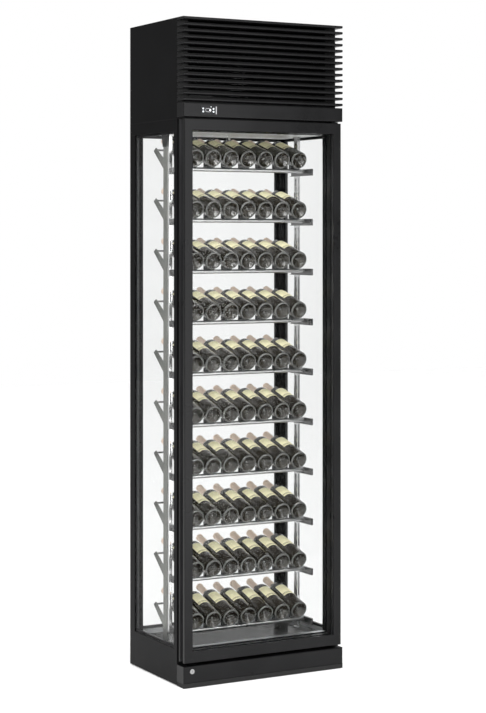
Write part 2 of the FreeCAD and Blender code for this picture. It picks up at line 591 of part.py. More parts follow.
def hinges():
    plate_x = ("hinge_x - hinge_plate_half", "hinge_x + hinge_plate_half - 3")
    low_z = "plinth_top + 4"
    high_z = "door_top + 2"
    low = fuse("lower_hinge",
               block("lower_arm", plate_x, ("hinge_y - 14", BODY_FRONT), (low_z, low_z + " + hinge_plate")),
               block("lower_leaf", plate_x, (BODY_FRONT + " - hinge_plate", BODY_FRONT),
                     (low_z + " - hinge_leaf_height", low_z + " + 1")),
               rod("lower_pin", "pin_radius", "hinge_plate + door_bottom - plinth_top - 9 + pin_reach",
                   "hinge_x", "hinge_y", low_z))
    high = fuse("upper_hinge",
                block("upper_arm", plate_x, ("hinge_y - 14", BODY_FRONT), (high_z, high_z + " + 4")),
                block("upper_leaf", plate_x, (BODY_FRONT + " - hinge_plate", BODY_FRONT),
                      (high_z + " + 3", high_z + " + hinge_leaf_height")),
                rod("upper_pin", "pin_radius", "pin_reach + 4", "hinge_x", "hinge_y",
                    high_z + " - pin_reach"))
    sub_part("door_hinges", group("door_hinges", low, high))


def lock():
    rim = rod("lock_rim_disc", "lock_rim_radius", "lock_rim", "lock_x", FRONT + " - lock_rim", "lock_z",
              "y")
    barrel = rod("lock_barrel", "lock_barrel_radius", "lock_barrel_length", "lock_x", FRONT, "lock_z", "y")
    bore = rod("lock_bore", "lock_plug_radius + lock_clearance", "lock_barrel_length + 10", "lock_x",
               FRONT + " - 5", "lock_z", "y")
    sub_part("lock_housing", cut("lock_housing", fuse("lock_body", rim, barrel), bore))
    plug = rod("lock_plug", "lock_plug_radius", "lock_barrel_length + lock_rim + 4 + cam_thick", "lock_x",
               FRONT + " - lock_rim", "lock_z", "y")
    cam_y = FRONT + " + lock_barrel_length + 4"
    cam = block("lock_cam", ("lock_x", "lock_x + cam_length"), (cam_y, cam_y + " + cam_thick"),
                ("lock_z - cam_width / 2", "lock_z + cam_width / 2"))
    key_slot = block("key_slot", ("lock_x - key_slot_width / 2", "lock_x + key_slot_width / 2"),
                     (FRONT + " - lock_rim - 1", FRONT + " + 6"),
                     ("lock_z - key_slot_height / 2", "lock_z + key_slot_height / 2"))
    sub_part("lock_cylinder", cut("lock_cylinder", fuse("lock_core", plug, cam), key_slot))


def housing():
    side = block("housing_side", (RIGHT + " - sheet", RIGHT), (BODY_FRONT, REAR),
                 ("frame_top", "overall_height"))
    sub_part("housing_side_panels", pair("housing_side_panels", side))
    within = (LEFT + " + sheet", RIGHT + " - sheet")
    sub_part("housing_top_panel", block("housing_top_panel", within, (BODY_FRONT, REAR),
                                        ("overall_height - sheet", "overall_height")))
    tall = ("frame_top", "overall_height - sheet")
    rear = block("rear_sheet", within, (REAR + " - sheet", REAR), tall)
    vent = block("vent", ("-vent_slot_length / 2", "vent_slot_length / 2"),
                 (REAR + " - sheet - 1", REAR + " + 1"),
                 ("0", "grille_slot"))
    vents = copies("vents", vent, [("150 - vent_slot_length / 2", REAR + " - sheet - 1",
                                    "frame_top + 12 + vent_slot_pitch * %d" % index)
                                   for index in range(int(size("vent_slot_count")))])
    cable_hole = rod("cable_hole", "grommet_radius - sheet", "sheet + 2", "grommet_x",
                     REAR + " - sheet - 1",
                     "grommet_z", "y")
    sub_part("housing_rear_panel", cut("housing_rear_panel", rear, cable_hole, *vents))
    flanges = [rod("grommet_flange_%d" % index, "grommet_radius", "module_bezel + key_proud", "grommet_x",
                   y,
                   "grommet_z", "y")
               for index, y in enumerate((REAR + " - sheet - module_bezel - key_proud", REAR))]
    neck = rod("grommet_neck", "grommet_radius - sheet - fitting_room", "sheet", "grommet_x",
               REAR + " - sheet",
               "grommet_z", "y")
    bore = rod("grommet_hole", "grommet_bore", "10", "grommet_x", REAR + " - 6", "grommet_z", "y")
    sub_part("cable_grommet", cut("cable_grommet", fuse("grommet_body", neck, *flanges), bore))

    backing = block("backing_sheet", within, (BODY_FRONT, BODY_FRONT + " + sheet"), tall)
    slot = block("grille_cut", (LEFT + " + grille_slot_margin", RIGHT + " - grille_slot_margin"),
                 (BODY_FRONT + " - 1", BODY_FRONT + " + sheet + 1"), ("0", "grille_slot"))
    fins = range(int(size("fin_count")))
    slots = copies("grille_cuts", slot, [
        (LEFT + " + grille_slot_margin", BODY_FRONT + " - 1",
         "first_fin + fin_pitch * (%d + 1) - fin_thick / 2 - grille_slot" % index)
        for index in list(fins)[:-1]])
    sub_part("louvre_backing", cut("louvre_backing", backing, *slots))

    nose = "fin_thick / 2"
    fin = fuse("fin",
               block("fin_blade", (LEFT, RIGHT), (FRONT + " + " + nose, BODY_FRONT),
                     ("-(%s)" % nose, nose)),
               rod("fin_nose", nose, "overall_width", LEFT, FRONT + " + " + nose, "0", "x"))
    sub_part("louvre_fins", group("louvre_fins", *copies(
        "fin", fin, [("0", "0", "first_fin + fin_pitch * %d" % index) for index in fins])))

    fascia = block("fascia_block", (LEFT, RIGHT), (FRONT, BODY_FRONT), ("fascia_bottom", "fascia_top"))
    front_corner = size("overall_depth") / -2 + 0.1
    skin = rounded("fascia_rounded", fascia, "skin_radius", lambda p: p.y < front_corner
                   and abs(abs(p.x) - size("overall_width") / 2) < 0.1)
    hollow = block("fascia_hollow", within, (FRONT + " + sheet", BODY_FRONT + " + 1"),
                   ("fascia_bottom + sheet", "fascia_top - sheet"))
    window = block("fascia_window", ("module_x - module_body_width / 2",
                                     "module_x + module_body_width / 2"),
                   (FRONT + " - 1", FRONT + " + sheet + 1"),
                   ("module_z - module_body_height / 2", "module_z + module_body_height / 2"))
    leaf_notch = block("fascia_leaf_notch", ("hinge_x - hinge_plate_half - 1",
                                             "hinge_x + hinge_plate_half + 1"),
                       (BODY_FRONT + " - hinge_plate - 1", BODY_FRONT + " + 1"),
                       ("fascia_bottom - 1", "fascia_bottom + sheet + 1"))
    sub_part("control_fascia", cut("control_fascia", skin, hollow, window, leaf_notch))


def controller():
    face = FRONT + " - module_bezel"
    bezel = block("module_bezel_plate", ("module_x - module_width / 2", "module_x + module_width / 2"),
                  (face, FRONT), ("module_z - module_height / 2", "module_z + module_height / 2"))
    body = block("module_body", ("module_x - module_body_width / 2", "module_x + module_body_width / 2"),
                 (FRONT, FRONT + " + module_depth"),
                 ("module_z - module_body_height / 2", "module_z + module_body_height / 2"))
    window = block("module_window", ("module_x + display_shift - display_width / 2",
                                     "module_x + display_shift + display_width / 2"),
                   (face + " - 1", face + " + sheet"),
                   ("module_z - display_height / 2", "module_z + display_height / 2"))
    well_half = "key_size / 2 + key_clearance"
    wells, keys = [], []
    spots = {"upper_left_key": ("-", ""), "lower_left_key": ("-", "-"),
             "upper_right_key": ("", ""), "lower_right_key": ("", "-")}
    for name, (side, level) in spots.items():
        x = "module_x + display_shift %s key_spread" % (side or "+")
        z = "module_z %s key_rise" % (level or "+")
        wells.append(block(name + "_well", ("%s - (%s)" % (x, well_half), "%s + %s" % (x, well_half)),
                           (face + " - 1", face + " + key_well"),
                           ("%s - (%s)" % (z, well_half), "%s + %s" % (z, well_half))))
        cap = block(name + "_cap", (x + " - key_size / 2", x + " + key_size / 2"),
                    (face + " - key_proud", face + " - key_proud + key_depth"),
                    (z + " - key_size / 2", z + " + key_size / 2"))
        front_face = size("overall_depth") / -2 - size("module_bezel") - size("key_proud") + 0.1
        keys.append((name, rounded(name, cap, "key_clearance", lambda p: p.y < front_face)))
    sub_part("controller_module", cut("controller_module", fuse("module_blank", bezel, body), window,
                                      *wells))
    sub_part("controller_display", block(
        "controller_display", ("module_x + display_shift - display_width / 2",
                               "module_x + display_shift + display_width / 2"),
        (face + " + 0.3", face + " + sheet"),
        ("module_z - display_height / 2", "module_z + display_height / 2")))
    for name, key in keys:
        sub_part(name, key)


def fan(name, radius, hub_radius, blade_depth, blade_count):
    """A fan about the Z axis: a hub with pitched blades trimmed to a circle."""
    hub = rod(name + "_hub", hub_radius, blade_depth, "0", "0", "-(%s) / 2" % blade_depth)
    blade = block(name + "_blade", ("0", radius), ("-(%s) * 0.9" % hub_radius, "%s * 0.9" % hub_radius),
                  ("-fan_blade_thick / 2", "fan_blade_thick / 2"))
    turn(blade, X_AXIS, size("fan_blade_pitch"))
    blades = []
    for index in range(blade_count):
        copy = doc.addObject("App::Link", "%s_blade_%d" % (name, index + 1))
        copy.LinkedObject = blade
        spin = FreeCAD.Rotation(Z_AXIS, 360.0 * index / blade_count)
        tilt = FreeCAD.Rotation(X_AXIS, size("fan_blade_pitch"))
        centre = spin.multVec(tilt.multVec(FreeCAD.Vector(0, -0.9 * size(hub_radius),
                                                          -size("fan_blade_thick") / 2)))
        copy.Placement = FreeCAD.Placement(centre, spin.multiply(tilt))
        blades.append(copy)
    trim = rod(name + "_trim", radius, "2 * fan_radius", "0", "0", "-fan_radius")
    wheel = doc.addObject("Part::Common", name + "_wheel")
    wheel.Base = fuse(name + "_blank", hub, *blades)
    wheel.Tool = trim
    return wheel


def finned_coil(name, x, y, z, fin_count, tube_rows):
    """A heat exchanger: upright fins along X on tubes that run through them."""
    fin = block(name + "_fin", (x[0], x[0] + " + coil_fin"), y, z)
    fins = copies(name + "_fins", fin, [("(%s) + ((%s) - (%s) - coil_fin) * %d / %d" % (
        x[0], x[1], x[0], index, fin_count - 1), y[0], z[0]) for index in range(fin_count)])
    tubes = []
    for index in range(tube_rows):
        level = "(%s) + ((%s) - (%s)) * %s" % (z[0], z[1], z[0], (index + 0.5) / tube_rows)
        tubes.append(rod("%s_tube_%d" % (name, index + 1), "coil_tube_radius", "(%s) - (%s)" % (x[1], x[0]),
                         x[0], "((%s) + (%s)) / 2" % (y[0], y[1]), level, "x"))
    return fuse(name, *fins, *tubes)


def pipe(name, points, bend_radius):
    """A tube along straight runs joined by arcs tangent to both."""
    corners = [FreeCAD.Vector(*point) for point in points]
    edges, start = [], corners[0]
    for before, corner, after in zip(corners, corners[1:], corners[2:]):
        inward = (before - corner).normalize()
        outward = (after - corner).normalize()
        half = inward.getAngle(outward) / 2
        reach = bend_radius / math.tan(half)
        middle = (inward + outward).normalize()
        centre = corner + middle * (bend_radius / math.sin(half))
        first, last = corner + inward * reach, corner + outward * reach
        edges.append(Part.LineSegment(start, first).toShape())
        edges.append(Part.Arc(first, centre - middle * bend_radius, last).toShape())
        start = last
    edges.append(Part.LineSegment(start, corners[-1]).toShape())
    path = Part.Wire(edges)
    direction = corners[1] - corners[0]
    section = Part.Wire(Part.makeCircle(size("pipe_radius"), corners[0], direction))
    tube = doc.addObject("Part::Feature", name)
    tube.Shape = path.makePipeShell([section], True, False)
    return tube


def cooling_unit():
    deck = "frame_top"
    body = rod("compressor_can", "compressor_radius", "compressor_height", "compressor_x", "compressor_y",
               deck + " + mount_height + sheet")
    domed = doc.addObject("Part::Fillet", "compressor_domed")
    domed.Base = body
    domed.Edges = [(1, 40, 40), (3, 24, 24)]
    plate = block("compressor_plate", ("compressor_x - mount_spread_x - 12",
                                       "compressor_x + mount_spread_x + 12"),
                  ("compressor_y - mount_spread_y - 12", "compressor_y + mount_spread_y + 12"),
                  (deck + " + mount_height", deck + " + mount_height + sheet + 1"))
    sub_part("compressor", fuse("compressor", domed, plate))
    mount = rod("mount", "mount_radius", "mount_height", "0", "0", "0")
    spots = [("compressor_x %s mount_spread_x" % a, "compressor_y %s mount_spread_y" % b, deck)
             for a in "+-" for b in "+-"]
    sub_part("compressor_mounts", group("compressor_mounts", *copies("mounts", mount, spots)))

    coil_y = ("coil_front", "coil_front + coil_depth")
    coil_z = (deck, "coil_top")
    sub_part("condenser_coil", finned_coil("condenser_coil", ("coil_left", "coil_right"), coil_y, coil_z,
                                           int(size("coil_fin_count")), int(size("coil_tube_count"))))
    shroud_y = ("coil_front + coil_depth", "coil_front + coil_depth + shroud_depth")
    fan_x = "(coil_left + coil_right) / 2"
    fan_z = "(frame_top + coil_top) / 2"
    shell = block("shroud_shell", ("coil_left", "coil_right"), shroud_y, coil_z)
    room = block("shroud_room", ("coil_left + shroud_wall", "coil_right - shroud_wall"),
                 (shroud_y[0] + " - 1", shroud_y[1] + " - shroud_wall"),
                 ("frame_top + shroud_wall", "coil_top - shroud_wall"))
    mouth = rod("shroud_mouth", "fan_radius + fan_clearance", "20", fan_x, shroud_y[1] + " - 10", fan_z,
                "y")
    sub_part("condenser_fan_shroud", cut("condenser_fan_shroud", shell, room, mouth))
    spider_y = (shroud_y[1], shroud_y[1] + " + shroud_wall")
    reach = "(fan_radius + 15)"
    spider = [block("spider_across", (fan_x + " - " + reach, fan_x + " + " + reach), spider_y,
                    (fan_z + " - 6", fan_z + " + 6")),
              block("spider_up", (fan_x + " - 6", fan_x + " + 6"), spider_y,
                    (fan_z + " - " + reach, fan_z + " + " + reach)),
              rod("fan_motor_can", "fan_hub_radius", "30", fan_x, spider_y[1], fan_z, "y"),
              rod("fan_axle", "fan_axle_radius", "fan_blade_depth + 5", fan_x,
                  shroud_y[1] + " - fan_blade_depth - 4", fan_z, "y")]
    wheel = fan("condenser_fan", "fan_radius", "fan_hub_radius", "fan_blade_depth", 5)
    holder = cut("condenser_wheel", wheel, rod("condenser_eye", "fan_axle_radius + lock_clearance", "60",
                                               "0", "0", "-30"))
    turn(holder, X_AXIS, -90)
    place(holder, fan_x, shroud_y[1] + " - fan_blade_depth / 2 - 3", fan_z)
    sub_part("condenser_fan", holder)
    cold_hub_top = deck + " + 1.5 * fan_blade_depth + 1"
    cold_motor = [rod("cold_motor_can", "cold_hub_radius", "cover_top - cover_wall - (%s)" % cold_hub_top,
                      "cold_fan_x", "cold_fan_y", cold_hub_top),
                  rod("cold_axle", "fan_axle_radius", "fan_blade_depth + 2", "cold_fan_x", "cold_fan_y",
                      cold_hub_top + " - fan_blade_depth - 1")]
    sub_part("fan_motors", group("fan_motors", fuse("condenser_fan_motor", *spider),
                                 fuse("evaporator_fan_motor", *cold_motor)))

    cover = block("cover_shell", ("cover_left", "cover_right"), ("cover_front", "cover_rear"),
                  (deck, "cover_top"))
    cover_room = block("cover_room", ("cover_left + cover_wall", "cover_right - cover_wall"),
                       ("cover_front + cover_wall", "cover_rear - cover_wall"),
                       (deck + " - 1", "cover_top - cover_wall"))
    sub_part("evaporator_cover", cut("evaporator_cover", cover, cover_room))
    cold_x = ("cold_coil_left", "cold_coil_left + supply_width + 40")
    sub_part("evaporator_coil", finned_coil("evaporator_coil", cold_x,
                                            ("cold_fan_y - supply_depth / 2",
                                             "cold_fan_y + supply_depth / 2 - 60"),
                                            (deck, deck + " + cold_coil_height"),
                                            int(size("cold_coil_fin_count")), 4))
    cold = cut("cold_wheel", fan("evaporator_fan", "cold_fan_radius", "cold_hub_radius", "fan_blade_depth",
                                 6),
               rod("cold_eye", "fan_axle_radius + lock_clearance", "60", "0", "0", "-30"))
    place(cold, "cold_fan_x", "cold_fan_y", deck + " + fan_blade_depth")
    sub_part("evaporator_fan", cold)

    tray_x = ("-10", "-10 + tray_width")
    tray = block("tray_shell", tray_x, ("20", "20 + tray_depth"), (deck, deck + " + tray_height"))
    tray_room = block("tray_room", (tray_x[0] + " + sheet", tray_x[1] + " - sheet"),
                      ("20 + sheet", "20 + tray_depth - sheet"),
                      (deck + " + sheet", deck + " + tray_height + 1"))
    sub_part("drip_tray", cut("drip_tray", tray, tray_room))
    sub_part("control_box", block("control_box", ("module_x - box_width / 2", "module_x + box_width / 2"),
                                  (BODY_FRONT + " + 10", BODY_FRONT + " + 10 + box_depth"),
                                  (deck + " + 1", deck + " + 1 + box_height")))
    circuit()


def circuit():
    """The refrigerant pipes between compressor, condenser, drier and evaporator."""
    deck = size("frame_top")
    x, y = size("compressor_x"), size("compressor_y")
    top = deck + size("mount_height") + size("sheet") + size("compressor_height")
    behind_coil = size("coil_front") + size("coil_depth") / 2
    right = size("coil_right")
    tube_low = deck + (size("coil_top") - deck) / 16
    tube_high = size("coil_top") - (size("coil_top") - deck) / 16
    drier_x, drier_y, drier_z = 40.0, -20.0, deck + 150.0
    discharge = pipe("discharge_pipe", [(x, y, top), (x, y, top + 60), (right + 22, y, top + 60),
                                        (right + 22, behind_coil, top + 60),
                                        (right + 22, behind_coil, tube_high),
                                        (right, behind_coil, tube_high)], 10)
    liquid = pipe("liquid_pipe", [(0, behind_coil, tube_low), (-25, behind_coil, tube_low),
                                  (-25, behind_coil, tube_low + 60), (-25, drier_y, tube_low + 60),
                                  (drier_x, drier_y, tube_low + 60), (drier_x, drier_y, drier_z)], 10)
    sub_part("filter_drier", rod("filter_drier", "drier_radius", "drier_length", str(drier_x), str(drier_y),
                                 str(drier_z)))
    cold_left = size("cover_right")
    feed_z = deck + 195.0
    drier_top = drier_z + size("drier_length")
    feed = pipe("feed_pipe", [(drier_x, drier_y, drier_top), (drier_x, drier_y, drier_top + 25),
                              (-20, drier_y, drier_top + 25), (-20, 40, drier_top + 25),
                              (-20, 40, deck + 100),
                              (cold_left, 40, deck + 100)], 10)
    suction = pipe("suction_pipe", [(cold_left, 120, deck + 80), (20, 120, deck + 80),
                                    (20, 120, feed_z - 60),
                                    (x - size("compressor_radius"), 120, feed_z - 60)], 10)
    sub_part("refrigerant_pipes", group("refrigerant_pipes", discharge, liquid, feed, suction))


base()
cabinet_frame()
fixed_glass()
ceiling()
rack()
bottles()
door()
hinges()
lock()
housing()
controller()
cooling_unit()

doc.recompute()
for item in doc.Objects:
    if any(state in ("Invalid", "Error") for state in item.State):
        raise RuntimeError("failed object: " + item.Name)
for piece in sub_parts:
    if piece.Shape.isNull() or not piece.Shape.isValid():
        raise RuntimeError("bad shape: " + piece.Label)

os.makedirs("parts", exist_ok=True)
for piece in sub_parts:
    piece.Shape.exportStep("parts/%s.step" % piece.Label)
print(len(sub_parts), "sub-parts written")
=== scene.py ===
"""Looks of the wine cooler: materials on the CAD pieces, and modelled bottles and display."""

import math

import bmesh
import bpy
from mathutils import Matrix, Vector


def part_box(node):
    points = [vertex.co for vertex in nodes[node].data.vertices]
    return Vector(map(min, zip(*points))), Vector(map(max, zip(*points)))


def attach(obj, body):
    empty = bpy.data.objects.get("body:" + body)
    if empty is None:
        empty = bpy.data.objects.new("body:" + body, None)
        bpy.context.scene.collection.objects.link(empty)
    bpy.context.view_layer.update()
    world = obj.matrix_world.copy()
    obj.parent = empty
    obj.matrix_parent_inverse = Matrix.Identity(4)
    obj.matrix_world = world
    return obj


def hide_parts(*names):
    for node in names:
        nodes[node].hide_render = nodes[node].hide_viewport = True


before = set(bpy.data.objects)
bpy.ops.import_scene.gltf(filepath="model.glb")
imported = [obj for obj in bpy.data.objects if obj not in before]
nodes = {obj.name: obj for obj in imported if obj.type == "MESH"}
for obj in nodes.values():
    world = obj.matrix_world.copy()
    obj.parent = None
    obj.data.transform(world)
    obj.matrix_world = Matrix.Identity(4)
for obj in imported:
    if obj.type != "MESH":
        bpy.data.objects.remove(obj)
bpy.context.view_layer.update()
scene = bpy.context.scene

MM = 0.001
BOTTLE_ROWS, BOTTLE_COLUMNS = 10, 7
BOTTLE_TILT = math.radians(16)
BOTTLE_RADIUS, HEEL_RADIUS = 37.3 * MM, 5 * MM
BOTTLE_LENGTH, LIP_RADIUS = 300 * MM, 15 * MM
LABEL_SWEEP, LABEL_TURN, LABEL_STEPS = math.radians(106), math.radians(-90 - 46), 28
LABEL_STATIONS = (92, 98, 101.4, 104.6, 108, 172)
RULED_BANDS = (1, 3)
# Bands of the bottle profile, at the nub and the heel ring, that take a lighter glass as painted highlight.
HEEL_HIGHLIGHT_BANDS = (0, 1, 8, 9, 10, 11, 12, 13)


# ---------------------------------------------------------------- materials

class Nodes:
    """A material's node tree, with short calls for the nodes used here."""

    def __init__(self, name):
        self.material = bpy.data.materials.new(name)
        self.material.use_nodes = True
        self.tree = self.material.node_tree
        self.tree.nodes.clear()
        self.output = self.tree.nodes.new("ShaderNodeOutputMaterial")

    def add(self, kind, **values):
        node = self.tree.nodes.new("ShaderNode" + kind)
        for key, value in values.items():
            setattr(node, key, value)
        return node

    def link(self, source, target):
        self.tree.links.new(source, target)

    def noise(self, scale, detail=3.0, stretch=(1, 1, 1)):
        place = self.add("TexCoord")
        mapping = self.add("Mapping")
        mapping.inputs["Scale"].default_value = stretch
        texture = self.add("TexNoise")
        texture.inputs["Scale"].default_value = scale
        texture.inputs["Detail"].default_value = detail
        self.link(place.outputs["Object"], mapping.inputs["Vector"])
        self.link(mapping.outputs["Vector"], texture.inputs["Vector"])
        return texture.outputs["Fac"]

    def ramp(self, source, low, high, start=0.35, end=0.65):
        ramp = self.add("ValToRGB")
        for element, place, colour in zip(ramp.color_ramp.elements, (start, end), (low, high)):
            element.position = place
            element.color = (*colour, 1)
        self.link(source, ramp.inputs["Fac"])
        return ramp.outputs["Color"]

    def spread(self, source, low, high):
        spread = self.add("MapRange")
        spread.inputs["From Min"].default_value = 0.3
        spread.inputs["From Max"].default_value = 0.7
        spread.inputs["To Min"].default_value = low
        spread.inputs["To Max"].default_value = high
        self.link(source, spread.inputs["Value"])
        return spread.outputs["Result"]


def surface(name, colour, roughness, metallic=0.0, vary=0.12, vary_scale=6, grain=900, bump=0.06,
            stretch=(1, 1, 1), edge=0.0, specular=0.5, coat=0.0, **fixed):
    """A material with uneven colour and gloss, fine relief and, with edge, softened edges."""
    made = Nodes(name)
    shader = made.add("BsdfPrincipled")
    cloudy = made.noise(vary_scale, 4)
    low = [c * (1 - vary) for c in colour]
    high = [min(c * (1 + vary), 1) for c in colour]
    made.link(made.ramp(cloudy, low, high), shader.inputs["Base Color"])
    made.link(made.spread(cloudy, roughness * 0.88, roughness * 1.12), shader.inputs["Roughness"])
    relief = made.add("Bump")
    relief.inputs["Strength"].default_value = bump
    relief.inputs["Distance"].default_value = 0.0004
    made.link(made.noise(grain, 2, stretch), relief.inputs["Height"])
    if edge:
        soft = made.add("Bevel", samples=4)
        soft.inputs["Radius"].default_value = edge
        made.link(soft.outputs["Normal"], relief.inputs["Normal"])
    made.link(relief.outputs["Normal"], shader.inputs["Normal"])
    shader.inputs["Metallic"].default_value = metallic
    shader.inputs["Specular IOR Level"].default_value = specular
    shader.inputs["Coat Weight"].default_value = coat
    shader.inputs["Coat Roughness"].default_value = 0.08
    for key, value in fixed.items():
        shader.inputs[key.replace("_", " ")].default_value = value
    made.link(shader.outputs["BSDF"], made.output.inputs["Surface"])
    return made.material


def clear_glass(name, tint, roughness=0.0):
    """Pane glass that lamps shine through, so that what is behind it is lit."""
    made = Nodes(name)
    shader = made.add("BsdfPrincipled")
    shader.inputs["Base Color"].default_value = (*tint, 1)
    shader.inputs["Roughness"].default_value = roughness
    shader.inputs["Transmission Weight"].default_value = 1.0
    shader.inputs["IOR"].default_value = 1.07
    through = made.add("BsdfTransparent")
    through.inputs["Color"].default_value = (0.97, 0.975, 0.97, 1)
    ray = made.add("LightPath")
    either = made.add("Math", operation="MAXIMUM")
    made.link(ray.outputs["Is Shadow Ray"], either.inputs[0])
    made.link(ray.outputs["Is Diffuse Ray"], either.inputs[1])
    mix = made.add("MixShader")
    made.link(either.outputs["Value"], mix.inputs["Fac"])
    made.link(shader.outputs["BSDF"], mix.inputs[1])
    made.link(through.outputs["BSDF"], mix.inputs[2])
    made.link(mix.outputs["Shader"], made.output.inputs["Surface"])
    return made.material


def glow(name, colour, strength):
    """A material that gives light of its own."""
    made = Nodes(name)
    shader = made.add("BsdfPrincipled")
    shader.inputs["Base Color"].default_value = (*colour, 1)
    shader.inputs["Emission Color"].default_value = (*colour, 1)
    shader.inputs["Emission Strength"].default_value = strength
    shader.inputs["Roughness"].default_value = 0.4
    made.link(shader.outputs["BSDF"], made.output.inputs["Surface"])
    return made.material


black_metal = surface("black_metal", (0.006, 0.006, 0.0064), 0.3, vary=0.18, bump=0.05, edge=0.002,
                      specular=0.16)
# The same black paint as black_metal, with darker colour and weaker gloss: painted shade for the faces
# turned to the side.
side_metal_painted_shade = surface("side_metal_painted_shade", (0.0045, 0.0045, 0.0048), 0.38, vary=0.15, bump=0.05, edge=0.003,
                     specular=0.05)
dark_metal = surface("dark_metal", (0.006, 0.006, 0.0065), 0.5, bump=0.05, edge=0.0008, specular=0.15)
ceiling_metal = surface("ceiling_metal", (0.62, 0.63, 0.63), 0.4, vary=0.04, bump=0.03)
satin_steel = surface("satin_steel", (0.22, 0.225, 0.21), 0.38, metallic=0.85, vary=0.08, grain=500,
                      stretch=(1, 1, 0.05), bump=0.10, edge=0.0006)
bright_steel = surface("bright_steel", (0.36, 0.36, 0.36), 0.3, metallic=1.0, vary=0.06, grain=700,
                       stretch=(0.06, 1, 1), bump=0.05, edge=0.0006)
# The same steel as bright_steel, made darker: painted shade for the shadowed insides of the shelf arms.
steel_painted_shade = surface("steel_painted_shade", (0.16, 0.16, 0.16), 0.3, metallic=1.0, vary=0.1, grain=700,
                     stretch=(1, 0.05, 1), bump=0.06, edge=0.0006)
column_steel = surface("column_steel", (0.58, 0.58, 0.58), 0.2, metallic=1.0, vary=0.06, grain=700,
                       stretch=(1, 1, 0.04), bump=0.06, edge=0.0006)
aluminium = surface("aluminium", (0.6, 0.61, 0.62), 0.35, metallic=1.0, vary=0.05, grain=600,
                    stretch=(1, 1, 0.05), bump=0.08)
rubber = surface("rubber", (0.012, 0.012, 0.012), 0.75, vary=0.2, grain=1400, bump=0.2, specular=0.3)
black_plastic = surface("black_plastic", (0.016, 0.016, 0.017), 0.5, vary=0.15, grain=1600, bump=0.15)
gloss_plastic = surface("gloss_plastic", (0.008, 0.008, 0.009), 0.3, vary=0.1, bump=0.02, specular=0.2,
                        edge=0.0004)
white_plastic = surface("white_plastic", (0.72, 0.73, 0.72), 0.45, vary=0.04, grain=1300, bump=0.08)
foam = surface("foam", (0.78, 0.76, 0.68), 0.85, vary=0.06, grain=500, bump=0.5)
floor_gloss = surface("floor_gloss", (0.05, 0.05, 0.05), 0.07, vary=0.08, bump=0.01, specular=0.02)
pane_glass = clear_glass("pane_glass", (0.972, 0.975, 0.974))
side_glass = clear_glass("side_glass", (0.965, 0.967, 0.966))
light_strip = glow("light_strip", (0.95, 0.97, 1.0), 0.8)
key_light = glow("key_light", (0.75, 0.8, 0.85), 0.35)
segment_light = glow("segment_light", (0.9, 0.93, 0.95), 1.1)
mark_light = glow("mark_light", (0.30, 0.30, 0.31), 0.15)
bottle_glass = surface("bottle_glass", (0.016, 0.0135, 0.0095), 0.1, vary=0.3, vary_scale=30, grain=220,
                       bump=0.06, specular=0.5, coat=0.25)
# A lighter glass on the heel ring and the nub of each bottle base: painted highlight.
heel_painted_highlight = surface("heel_painted_highlight", (0.07, 0.07, 0.067), 0.18, vary=0.2, vary_scale=40, grain=260, bump=0.1,
                      specular=0.5, coat=0.3)
label_paper = surface("label_paper", (0.98, 0.90, 0.60), 0.6, vary=0.06, vary_scale=80, grain=2500,
                      bump=0.15)
label_ink = surface("label_ink", (0.10, 0.07, 0.04), 0.5, vary=0.2, grain=2500, bump=0.1)
capsule_foil = surface("capsule_foil", (0.84, 0.68, 0.56), 0.4, metallic=0.1, vary=0.1, grain=1500,
                       bump=0.1)

FINISHES = {
    black_metal: ("plinth_fascia", "door_frame", "louvre_fins", "control_fascia", "louvre_backing"),
    side_metal_painted_shade: ("base_housing", "front_posts", "rear_posts", "top_frame", "housing_side_panels",
                 "housing_top_panel", "housing_rear_panel"),
    dark_metal: ("rack_brackets", "compressor", "door_hinges", "filter_drier",
                 "condenser_coil"),
    ceiling_metal: ("ceiling_panel",),
    satin_steel: ("rack_plates",),
    bright_steel: ("bottle_rails", "neck_rests", "lock_housing", "lock_cylinder"),
    steel_painted_shade: ("shelf_arms",),
    column_steel: ("rack_columns",),
    aluminium: ("evaporator_coil", "bottom_frame"),
    rubber: ("toe_strip", "door_gasket", "compressor_mounts", "cable_grommet",
             "refrigerant_pipes"),
    black_plastic: ("levelling_feet", "bottle_cradles", "condenser_fan", "condenser_fan_shroud",
                    "fan_motors", "control_box", "drip_tray", "door_handle_channel",
                    "glass_spacers", "door_glass_spacer", "evaporator_cover"),
    gloss_plastic: ("controller_module", "controller_display"),
    white_plastic: ("evaporator_fan", "temperature_probe"),
    foam: ("base_insulation", "ceiling_insulation"),
    floor_gloss: ("floor_panel",),
    pane_glass: ("door_glass_panes", "rear_glass_panes"),
    side_glass: ("side_glass_panes",),
    light_strip: ("led_strips",),
    key_light: ("upper_left_key", "lower_left_key", "upper_right_key", "lower_right_key"),
}
for material, names in FINISHES.items():
    for name in names:
        piece = nodes[name]
        if not piece.material_slots:
            piece.data.materials.append(material)
        for slot in piece.material_slots:
            slot.material = material


# ---------------------------------------------------------------- pieces

def finished(name, mesh, materials, body, smooth=30):
    """An object from a bmesh, riding on a CAD body."""
    data = bpy.data.meshes.new(name)
    bmesh.ops.recalc_face_normals(mesh, faces=mesh.faces)
    mesh.to_mesh(data)
    mesh.free()
    piece = bpy.data.objects.new(name, data)
    scene.collection.objects.link(piece)
    for material in materials:
        data.materials.append(material)
    data.shade_smooth()
    data.set_sharp_from_angle(angle=math.radians(smooth))
    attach(piece, body)
    return piece


